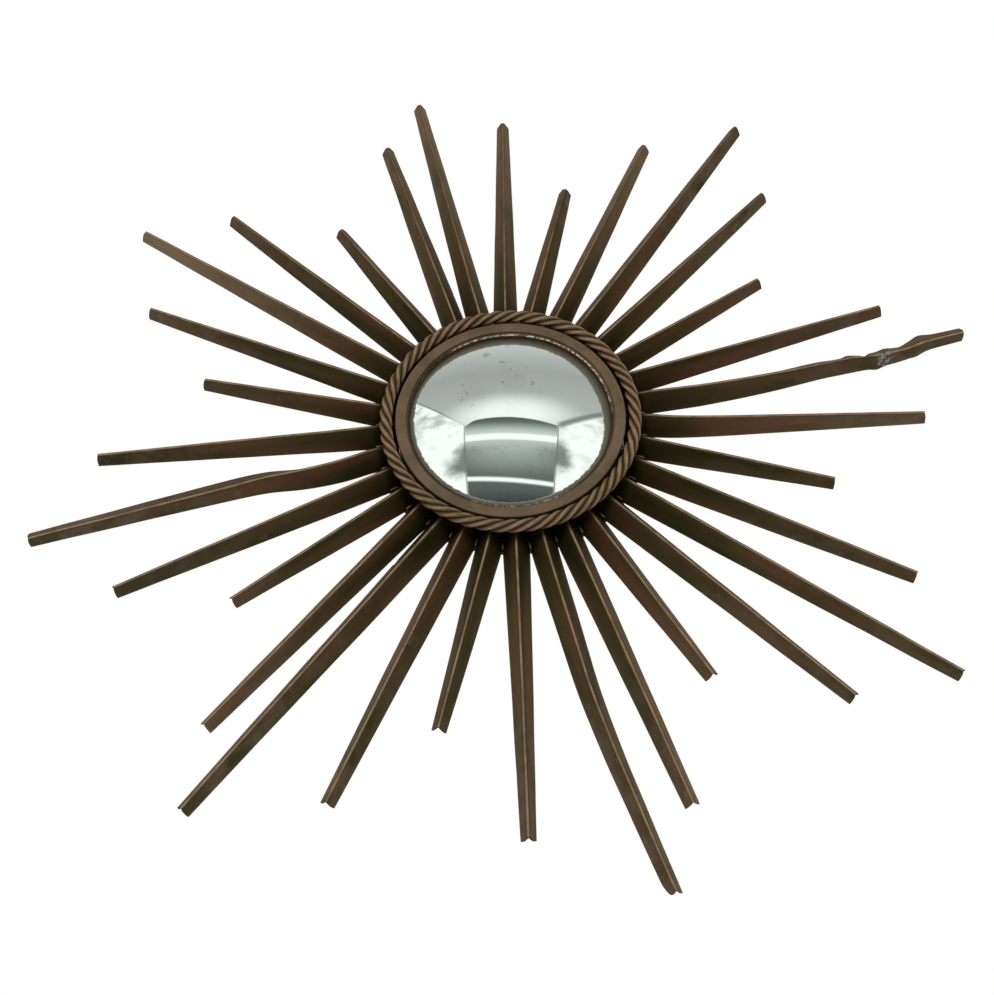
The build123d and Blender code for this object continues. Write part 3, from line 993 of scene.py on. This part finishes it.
# %% Bar and face bronze
BAR_TONES = [(0.36, (0.150, 0.104, 0.048)), (0.5, (0.190, 0.124, 0.066)), (0.64, (0.230, 0.128, 0.074))]
BAR_GRIME_AND_SHADE = (0.022, 0.012, 0.005)
BAR_WEAR_AND_HIGHLIGHT = (0.330, 0.240, 0.145)
FACE_TONES = [(0.36, (0.122, 0.100, 0.054)), (0.5, (0.165, 0.117, 0.070)), (0.64, (0.205, 0.132, 0.084))]
BEAD_SHADE = (0.030, 0.024, 0.012)
BEAD_GLINT = (0.86, 0.76, 0.58)
BEAD_RADIUS = 0.0745


def bar_bronze():
    finish = Finish("bar_bronze")
    crest = finish.mark("crest")
    colour = finish.ramp(finish.cloud(0.022, detail=5), BAR_TONES)
    # Dirt and painted shade in the hollows between the lobes.
    colour = finish.mix(crest.rise(0.38, 0.02) * 0.94, colour, BAR_GRIME_AND_SHADE)
    # The lobes are paler: partly rubbed metal and partly a painted highlight along each strand.
    wear_and_highlight = crest.rise(0.55, 1.0) * (0.3 + finish.cloud(0.006).rise(0.35, 0.6) * 0.7)
    colour = finish.mix(wear_and_highlight * 0.9, colour, BAR_WEAR_AND_HIGHLIGHT)
    fine = finish.cloud(0.0016, detail=6, rough=0.7)
    return finish.wear(
        Base_Color=colour, Metallic=0.6, Roughness=0.44 - wear_and_highlight * 0.1 + fine * 0.08,
        Specular_IOR_Level=0.2, Specular_Tint=(0.75, 0.62, 0.45), Normal=finish.bump(fine, 0.00005))


def toward(finish, clock, inner=0.5, outer=0.85):
    """1 on the part of the rim that faces a clock hour, 0 elsewhere."""
    angle = math.radians(clock * 30)
    along = (finish.axis(0) * math.sin(angle) + finish.axis(2) * math.cos(angle)) / BEAD_RADIUS
    return along.rise(inner, outer)


def face_bronze():
    finish = Finish("face_bronze")
    edge = finish.mark("edge")
    colour = finish.ramp(finish.cloud(0.018, detail=6, rough=0.6), FACE_TONES)
    lit = toward(finish, 0.8, 0.35, 0.8).most(toward(finish, 5.8, 0.8, 0.95) * 0.45)
    # Painted shade on the bead, except where it faces the painted light.
    colour = finish.mix(edge * (1 - lit * 0.8), colour, BEAD_SHADE)
    # Painted glints on the bead where the painted light falls.
    broken = finish.cloud(0.0030, detail=6, rough=0.75).rise(0.47, 0.56)
    glints = edge.rise(0.5, 1.0) * lit * broken
    colour = finish.mix(glints, colour, BEAD_GLINT)
    fine = finish.cloud(0.0012, detail=6, rough=0.7)
    return finish.wear(
        Base_Color=colour, Metallic=0.6, Roughness=0.42 - glints * 0.15 + fine * 0.08,
        Specular_IOR_Level=0.2, Specular_Tint=(0.75, 0.62, 0.45), Normal=finish.bump(fine, 0.00003))


finishes["bar_bronze"] = bar_bronze()
finishes["face_bronze"] = face_bronze()
print("bronze finishes:", list(finishes))


# %% [markdown]
# ## Silvered glass
#
# The mirror is a metal coat behind clear glass. For a picture, one mirror-smooth surface
# with a faint green cast stands for both. Age shows in two ways: dark specks where damp
# reached the silver, and a ragged rim where the silver has gone altogether. It has gone
# furthest at the upper right. Both are noise cut off at a level, and both take the shine
# away as well as the colour.

# %% The mirror's silver
SILVER = (0.80, 0.86, 0.81)
SPECK = (0.12, 0.13, 0.11)
BARE_RIM = [(0.02, (0.15, 0.155, 0.11)), (0.16, (0.13, 0.12, 0.075)), (0.40, (0.095, 0.077, 0.041)),
            (0.75, (0.045, 0.034, 0.015))]
SILVER_RADIUS = 69.3
MOST_SILVER_LOST = 4.6


def silvered_glass():
    finish = Finish("silvered_glass")
    x, z = finish.axis(0), finish.axis(2)
    from_damp = ((x + 0.010)**2.0 + (z - 0.026)**2.0)**0.5
    specks = finish.cloud(0.0075, detail=4, rough=0.55).rise(0.625, 0.69)
    specks = specks * from_damp.rise(0.046, 0.022) * z.rise(0.002, 0.010) * 0.7
    cloudy = from_damp.rise(0.045, 0.0) * finish.cloud(0.02).rise(0.4, 0.7) * 0.12
    silver_ends = SILVER_RADIUS - toward(finish, 0.9, -0.1, 0.75) * MOST_SILVER_LOST
    ragged_edge = finish.cloud(0.0030, detail=3) * 2.4 - 1.2
    beyond = finish.mark("edge") + ragged_edge - silver_ends
    lost = beyond.rise(-0.3, 0.5)
    colour = finish.mix(specks.most(cloudy), SILVER, SPECK)
    colour = finish.mix(lost, colour, finish.ramp(beyond / 9, BARE_RIM))
    return finish.wear(
        Base_Color=colour, Metallic=1.0 - specks * 0.6 - lost * 0.9,
        Roughness=0.02 + specks * 0.2 + lost * 0.5)


finishes["silvered_glass"] = silvered_glass()
print("mirror finish ready")


# %% [markdown]
# ## The back and the small pieces
#
# Behind the glass are dulled steel, raw board, card, a dark soft seat and grey solder. They
# share one recipe: two tones that drift into each other, a grain, and a bump from the same
# grain. Writing it once keeps the cells short, and each piece only names its tones.

# %% Plain materials with a grain
def plain(name, first, second, patch, grain, metallic, roughness, stretch=(1, 1, 1)):
    finish = Finish(name)
    fine = finish.cloud(grain, detail=6, rough=0.65, stretch=stretch)
    colour = finish.mix(finish.cloud(patch).rise(0.35, 0.65), first, second)
    colour = finish.mix(fine.rise(0.5, 0.8) * 0.5, colour, tuple(0.45 * tone for tone in first))
    return finish.wear(
        Base_Color=colour, Metallic=metallic, Roughness=roughness + fine * 0.12,
        Normal=finish.bump(fine, 0.00003))


# Name, two tones, size of the patches and of the grain in metres, metallic, roughness
for recipe in (
        ("drum_steel", (0.115, 0.085, 0.05), (0.15, 0.105, 0.065), 0.03, 0.002, 0.6, 0.42),
        ("cover_steel", (0.26, 0.24, 0.21), (0.19, 0.16, 0.13), 0.04, 0.0025, 0.8, 0.38),
        ("hanger_brass", (0.42, 0.31, 0.14), (0.30, 0.21, 0.10), 0.008, 0.0012, 0.9, 0.32),
        ("loop_steel", (0.42, 0.40, 0.37), (0.30, 0.28, 0.25), 0.008, 0.001, 0.9, 0.30),
        ("solder", (0.24, 0.22, 0.17), (0.10, 0.08, 0.05), 0.004, 0.0012, 0.8, 0.34),
        ("glazing", (0.018, 0.018, 0.015), (0.035, 0.033, 0.026), 0.01, 0.0015, 0.0, 0.6),
        ("card", (0.36, 0.26, 0.16), (0.30, 0.21, 0.13), 0.02, 0.0012, 0.0, 0.8, (1, 1, 0.2)),
        ("hardboard", (0.20, 0.125, 0.07), (0.16, 0.095, 0.05), 0.02, 0.001, 0.0, 0.7)):
    finishes[recipe[0]] = plain(*recipe)
print("finishes:", len(finishes))


# %% [markdown]
# ## Each piece gets its finish
#
# On the real mirror every piece was finished before it was put together. The record names a
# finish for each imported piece, and each new mesh carries its own, so one loop dresses both.
# Assigning by hand would miss the hidden pieces, and those show in the views from behind.

# %% Dress the pieces
slots = {part["node"]: part["material_slot"] for part in frame["record"]["subparts"]}
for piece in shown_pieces():
    finish_name = slots.get(piece.name, piece.get("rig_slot"))
    piece.data.materials.clear()
    piece.data.materials.append(finishes[finish_name])


# %% [markdown]
# ## Floor, light and what the glass sees
#
# The light is plain: a white surround and two soft panels. A mirror is only as good as the
# room in front of it, and the photograph's shows a white light tent: a bright ceiling that
# falls off, two bright sides and the darker opening that the picture was taken through.
# Flat panels carry those tones. The camera doesn't see them, and they light nothing; only
# reflections find them. A picture of a room wrapped round the scene would be quicker, but it
# would have to be shipped with the part.

# %% Stage helpers
def stage_panel(name, centre, along_x, along_z, material):
    """A flat panel from its centre and its two half edges."""
    centre, right, up = Vector(centre), Vector(along_x), Vector(along_z)
    corners = [centre - right - up, centre + right - up, centre + right + up, centre - right + up]
    mesh = bpy.data.meshes.new(name)
    mesh.from_pydata(corners, [], [(0, 1, 2, 3)])
    panel = bpy.data.objects.new(name, mesh)
    mesh.materials.append(material)
    bpy.context.scene.collection.objects.link(panel)
    return panel


def only_reflections(panel):
    panel.visible_camera = False
    panel.visible_diffuse = False
    panel.visible_shadow = False
    panel.visible_transmission = False


print("stage helpers ready")


# %% [markdown]
# ## The tent that the glass reflects
#
# One upright panel in front of the mirror shows the whole tent: above, a ceiling that falls
# off; below two creases, white crinkled cloth; in the middle, the opening with its two bright
# strips. Each boundary is a line in the panel's own x and z, softened with a smooth step. The
# panel is drawn that way rather than built from cloth, because the glass only shows tones.

# %% The tent's tones
TENT_DISTANCE = 2.5
WRINKLE = (0.12, 0.135, 0.13)
OPENING_TONES = [
    (0.08, (0.030, 0.036, 0.036)), (0.20, (0.09, 0.10, 0.10)), (0.36, (0.15, 0.165, 0.16)),
    (0.46, (0.27, 0.29, 0.285)), (0.62, (0.42, 0.45, 0.44)), (0.688, (0.50, 0.53, 0.52)),
    (0.703, (0.93, 0.94, 0.94)), (0.731, (1.0, 1.0, 1.0)), (0.759, (0.93, 0.94, 0.94)),
    (0.774, (0.60, 0.63, 0.62)), (0.812, (0.48, 0.51, 0.50)), (0.870, (0.25, 0.27, 0.265)),
    (0.905, (0.13, 0.15, 0.145)), (0.955, (0.085, 0.10, 0.095))]


def grey(tone):
    return (tone, tone, tone)


def tent_cloth(finish, x, z):
    """A ceiling with a glow over the opening, and bright crinkled sides below two creases."""
    ceiling = finish.ramp(z / 5, [(0.40, grey(0.42)), (0.56, grey(0.36)), (0.68, grey(0.43)),
                                  (0.80, grey(0.52))])
    from_glow = ((x / 0.95)**2.0 + ((z - 1.60) / 0.46)**2.0)**0.5
    ceiling = finish.mix(from_glow.rise(1.35, 0.25), ceiling, grey(0.93))

    crinkle = finish.cloud(0.30, detail=7, rough=0.62, stretch=(0.8, 1, 1.1))
    sides = finish.mix(crinkle.rise(0.34, 0.56), (0.50, 0.53, 0.52), grey(0.97))
    low_glow = (z + finish.cloud(0.5, detail=2) * 0.25).rise(1.75, 1.3)
    sides = finish.mix(low_glow * 0.6, sides, grey(0.99))
    across = (distance(x) - 0.62) / 0.26
    up = (z - 0.84) / 0.36
    from_grey_patch = (across * across + up * up)**0.5
    grey_patch = (from_grey_patch + crinkle * 1.6 - 0.8).rise(1.05, 0.25)
    sides = finish.mix(grey_patch * 0.92, sides, (0.15, 0.165, 0.16))

    left_crease = z + x * 1.04 - 0.795
    right_crease = z - x * 0.59 - 1.03
    below = left_crease.rise(0.0, -0.03) * x.rise(-0.5, -0.55)
    below = below.most(right_crease.rise(0.0, -0.03) * x.rise(0.5, 0.55))
    fold = distance(left_crease).rise(0.035, 0.0) * x.rise(-0.62, -1.1)
    fold = fold.most(distance(right_crease).rise(0.10, 0.02) * x.rise(0.62, 0.7))
    return finish.mix(fold * 0.85, finish.mix(below, ceiling, sides), (0.17, 0.18, 0.18))


def tent_opening(finish, x, z):
    """The opening's tones from bottom to top, its wrinkles and its low bright strip."""
    level = z + x * 0.06
    tones = finish.ramp(level / 1.6, OPENING_TONES)
    wrinkle = distance(finish.cloud(0.30, detail=5, rough=0.6) - 0.5).rise(0.012, 0.0)
    tones = finish.mix(wrinkle * level.rise(1.06, 0.98) * 0.5, tones, WRINKLE)
    at_sides = ((x * x) / 0.36).least(1.0) * level.rise(0.1, 0.5) * level.rise(1.1, 0.95)
    tones = finish.mix(at_sides * 0.55, tones, (0.10, 0.11, 0.11))
    low_strip = distance(z + x * 0.115 - 0.475).rise(0.050, 0.010)
    return finish.mix(low_strip, tones, grey(0.98))


def tent_tones():
    """Brightness of the panel at x and z metres."""
    finish = Finish("tent_tones", "ShaderNodeEmission")
    x, z = finish.axis(0), finish.axis(2)
    left_side = x + z * 0.05 + 0.56
    right_side = z * 0.115 - x + 0.485
    left_drop = (-x - 0.45).most(0.0)
    top = 1.565 - z - (x + 0.22) * (x + 0.22) * 0.21 - left_drop * left_drop * 3.0
    inside = left_side.rise(0.0, 0.02) * right_side.rise(0.0, 0.02) * top.rise(0.0, 0.02)
    tones = finish.mix(inside, tent_cloth(finish, x, z), tent_opening(finish, x, z))
    seam = distance(left_side).rise(0.016, 0.004).most(distance(right_side).rise(0.016, 0.004))
    tones = finish.mix(seam * z.rise(1.5, 1.42) * 0.7, tones, (0.16, 0.17, 0.17))
    return finish.wear(Color=tones, Strength=1.2)


tent = stage_panel("tent", (0, -TENT_DISTANCE, 2.2), (3.0, 0, 0), (0, 0, 3.2), tent_tones())
only_reflections(tent)
ceiling_tone = Finish("ceiling_tone", "ShaderNodeEmission").wear(Color=grey(0.50), Strength=1.0)
ceiling = stage_panel("ceiling", (0, 0.4, 5.4), (3.0, 0, 0), (0, 2.9, 0), ceiling_tone)
only_reflections(ceiling)
print("tent", TENT_DISTANCE, "m in front of the mirror")


# %% [markdown]
# ## Floor, lamps and surround
#
# The lamps are the opposite of the tent: they light the metal, but the glass doesn't show
# them, as a photographer would keep them out of its reflection. The world is pure white
# where it is seen or mirrored and a little dimmer as a light, so the metal keeps its depth.

# %% Floor, lamps and surround
FLOOR_HEIGHT = -1.3
LIGHTING_STRENGTH = 0.75
SEEN_STRENGTH = 1.0
floor_finish = Finish("pale_floor").wear(Base_Color=(0.86, 0.86, 0.85), Roughness=0.9)
stage_panel("floor", (0, 0, FLOOR_HEIGHT), (40, 0, 0), (0, 40, 0), floor_finish)


def soft_lamp(name, place, aim, size, power):
    light = bpy.data.lights.new(name, "AREA")
    light.size = size
    light.energy = power
    lamp = bpy.data.objects.new(name, light)
    lamp.location = place
    lamp.rotation_euler = (Vector(aim) - Vector(place)).to_track_quat("-Z", "Y").to_euler()
    lamp.visible_glossy = False
    bpy.context.scene.collection.objects.link(lamp)


soft_lamp("lamp_above", (0.15, -0.45, 1.75), (0, 0, 0), 1.0, 16)
soft_lamp("lamp_left", (-1.6, -1.2, 0.3), (0, 0, 0), 1.0, 5)

world = bpy.data.worlds.new("surround")
world.use_nodes = True
world.node_tree.nodes.clear()
bpy.context.scene.world = world
add = world.node_tree.nodes.new
link = world.node_tree.links.new
surround = add("ShaderNodeBackground")
path = add("ShaderNodeLightPath")
seen = path.outputs["Is Camera Ray"]
for ray_kind in ("Is Glossy Ray", "Is Transmission Ray"):
    either = add("ShaderNodeMath")
    either.operation = "MAXIMUM"
    link(seen, either.inputs[0])
    link(path.outputs[ray_kind], either.inputs[1])
    seen = either.outputs[0]
strength = add("ShaderNodeMapRange")
strength.inputs["To Min"].default_value = LIGHTING_STRENGTH
strength.inputs["To Max"].default_value = SEEN_STRENGTH
link(seen, strength.inputs["Value"])
link(strength.outputs[0], surround.inputs["Strength"])
link(surround.outputs[0], add("ShaderNodeOutputWorld").inputs["Surface"])
surround.inputs["Color"].default_value = (1, 1, 1, 1)

bpy.context.scene.view_settings.view_transform = "Standard"
print("stage set")
